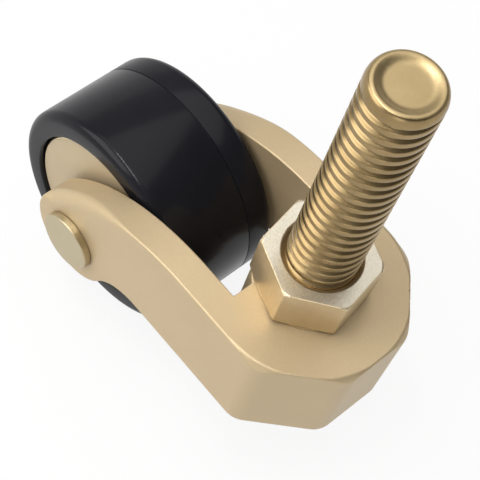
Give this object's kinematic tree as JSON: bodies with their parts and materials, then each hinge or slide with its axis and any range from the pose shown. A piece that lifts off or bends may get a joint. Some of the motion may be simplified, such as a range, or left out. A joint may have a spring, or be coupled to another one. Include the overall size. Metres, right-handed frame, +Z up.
{
  "type": "swivel stem castor",
  "caption": "Low swivel castor with a threaded stem and lock nut, a faceted cast fork with crowned arms, and one small black wheel with metal hub discs.",
  "frame": {"origin": "on the stem axis at the top face of the lock nut, which is the mounting plane", "axes": "+Z up the stem, +X to the faceted front of the fork, Y along the axle, wheel at -X in the rest pose"},
  "size_m": [0.0591, 0.0298, 0.0803],
  "materials": {
    "plated_steel": "yellow plated, glossy",
    "nut_steel": "lightly yellow plated, turned face",
    "race_steel": "ground",
    "ball_steel": "polished",
    "bronze": "plain",
    "nylon": "plain",
    "champagne_paint": "satin champagne gold",
    "champagne_disc": "satin champagne gold",
    "axle_steel": "satin gold with a polished rim",
    "black_tread": "satin black",
    "black_core": "satin black"
  },
  "bodies": {
    "stem": {"stem": "plated_steel", "lock_nut": "nut_steel", "top_washer": "nut_steel", "upper_race": "race_steel", "thrust_washer": "nylon", "retaining_washer": "race_steel"},
    "fork": {"fork": "champagne_paint", "lower_race": "race_steel", "race_ball_1": "ball_steel", "race_ball_2": "ball_steel", "race_ball_3": "ball_steel", "race_ball_4": "ball_steel", "race_ball_5": "ball_steel", "race_ball_6": "ball_steel", "race_ball_7": "ball_steel", "race_ball_8": "ball_steel", "race_ball_9": "ball_steel", "race_ball_10": "ball_steel", "race_ball_11": "ball_steel", "race_ball_12": "ball_steel", "swivel_bush": "bronze", "axle": "axle_steel", "axle_sleeve": "race_steel", "axle_washer_near": "race_steel", "axle_washer_far": "race_steel"},
    "wheel": {"tyre": "black_tread", "wheel_core": "black_core", "wheel_bush": "bronze", "hub_disc_near": "champagne_disc", "hub_disc_far": "champagne_disc"}
  },
  "joints": [
    {"name": "fork_swivel", "type": "hinge", "parent": "stem", "child": "fork", "pos_m": [0, 0, 0], "axis": [0, 0, 1], "continuous": true},
    {"name": "wheel_spin", "type": "hinge", "parent": "fork", "child": "wheel", "pos_m": [-0.0288, 0, -0.02548], "axis": [0, 1, 0], "continuous": true}
  ]
}
